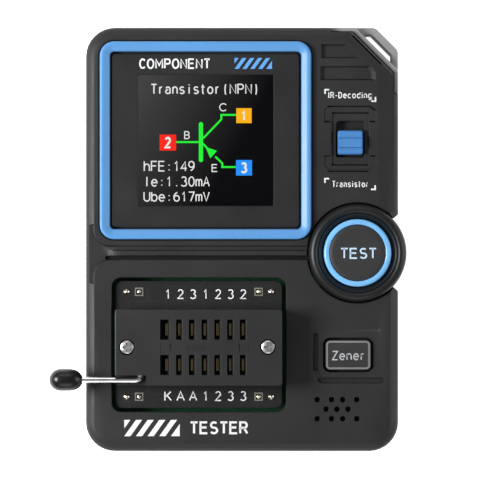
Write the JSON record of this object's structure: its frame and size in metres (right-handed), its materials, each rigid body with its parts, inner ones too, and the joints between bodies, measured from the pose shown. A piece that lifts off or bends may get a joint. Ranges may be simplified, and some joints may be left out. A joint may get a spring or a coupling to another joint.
{
  "type": "component tester",
  "caption": "Palm-sized electronic component tester with a colour screen, lever socket, round test button, push button, slide switch and lanyard slot.",
  "frame": {"origin": "centre of the back's resting face, between the four outer sides of the casing", "axes": "+Z out of the face, +Y towards the screen end, +X towards the TEST button's side"},
  "size_m": [0.0713, 0.0848, 0.0286],
  "materials": {
    "casing_plastic": "fine matte moulded charcoal plastic",
    "guard_plastic": "satin grey moulded plastic",
    "frame_blue": "satin light blue plastic",
    "panel_plastic": "smooth dark grey panel",
    "lens_glass": "clear flat window",
    "display_glass": "black display glass",
    "ribbon_film": "amber flexible film",
    "knob_blue": "satin blue plastic",
    "ring_blue": "light blue translucent ring",
    "button_plastic": "soft matte dark grey plastic",
    "collar_plastic": "satin near-black plastic",
    "inner_plastic": "black moulded plastic",
    "switch_steel": "plain steel can",
    "circuit_board": "green solder mask",
    "socket_board_black": "black solder mask",
    "socket_plastic": "matte black moulded plastic",
    "contact_brass": "plain stamped contact",
    "pin_brass": "tinned pin and pad",
    "lever_steel": "bright round wire",
    "lever_knob_black": "polished black knob",
    "screw_steel": "zinc-plated screw",
    "battery_wrap": "laminated pouch foil",
    "port_steel": "plain steel port shell",
    "ir_filter": "smoky infrared filter",
    "print_white": "flat white printed ink"
  },
  "bodies": {
    "casing": {"front_shell": "casing_plastic", "rear_shell": "casing_plastic", "corner_guard": "guard_plastic", "screen_frame": "frame_blue", "screen_bezel": "panel_plastic", "screen_lens": "lens_glass", "display_module": "display_glass", "display_ribbon": "ribbon_film", "switch_body": "switch_steel", "test_button_collar": "collar_plastic", "test_switch_body": "switch_steel", "zener_switch_body": "switch_steel", "main_board": "circuit_board", "processor_chip": "inner_plastic", "socket_board": "socket_board_black", "zif_base": "socket_plastic", "zif_cover": "socket_plastic", "zif_screw_left": "screw_steel", "zif_screw_right": "screw_steel", "battery": "battery_wrap", "buzzer": "inner_plastic", "usb_port": "port_steel", "ir_receiver": "inner_plastic", "ir_window": "ir_filter", "zif_contact_1": "contact_brass", "zif_contact_2": "contact_brass", "zif_contact_3": "contact_brass", "zif_contact_4": "contact_brass", "zif_contact_5": "contact_brass", "zif_contact_6": "contact_brass", "zif_contact_7": "contact_brass", "zif_contact_8": "contact_brass", "zif_contact_9": "contact_brass", "zif_contact_10": "contact_brass", "zif_contact_11": "contact_brass", "zif_contact_12": "contact_brass", "zif_contact_13": "contact_brass", "zif_contact_14": "contact_brass", "header_upper_left": "pin_brass", "header_upper_right": "pin_brass", "header_lower_left": "pin_brass", "header_lower_right": "pin_brass", "housing_screw_1": "screw_steel", "housing_screw_2": "screw_steel", "housing_screw_3": "screw_steel", "housing_screw_4": "screw_steel"},
    "lever": {"zif_lever": "lever_steel", "zif_lever_knob": "lever_knob_black"},
    "socket_slider": {"zif_slider": "socket_plastic"},
    "mode_switch": {"switch_knob": "knob_blue", "switch_stem": "inner_plastic"},
    "test_button": {"test_button_cap": "button_plastic", "test_button_ring": "ring_blue", "test_switch_plunger": "inner_plastic"},
    "zener_button": {"zener_button_cap": "button_plastic", "zener_switch_plunger": "inner_plastic"}
  },
  "joints": [
    {"name": "lever_swing", "type": "hinge", "parent": "casing", "child": "lever", "pos_m": [-0.0201, -0.028, 0.026], "axis": [0, 1, 0], "range_deg": [0, 90]},
    {"name": "slider_shift", "type": "slide", "parent": "casing", "child": "socket_slider", "axis": [1, 0, 0], "range_m": [0, 0.0005]},
    {"name": "switch_slide", "type": "slide", "parent": "casing", "child": "mode_switch", "axis": [0, 1, 0], "range_m": [0, 0.0016]},
    {"name": "test_press", "type": "slide", "parent": "casing", "child": "test_button", "axis": [0, 0, -1], "range_m": [0, 0.0008], "stiffness_N_per_m": 400, "springref_m": -0.001},
    {"name": "zener_press", "type": "slide", "parent": "casing", "child": "zener_button", "axis": [0, 0, -1], "range_m": [0, 0.0006], "stiffness_N_per_m": 400, "springref_m": -0.001}
  ],
  "couplings": [
    {"joint": "slider_shift", "follows": "lever_swing", "m_per_rad": 0.000318}
  ]
}
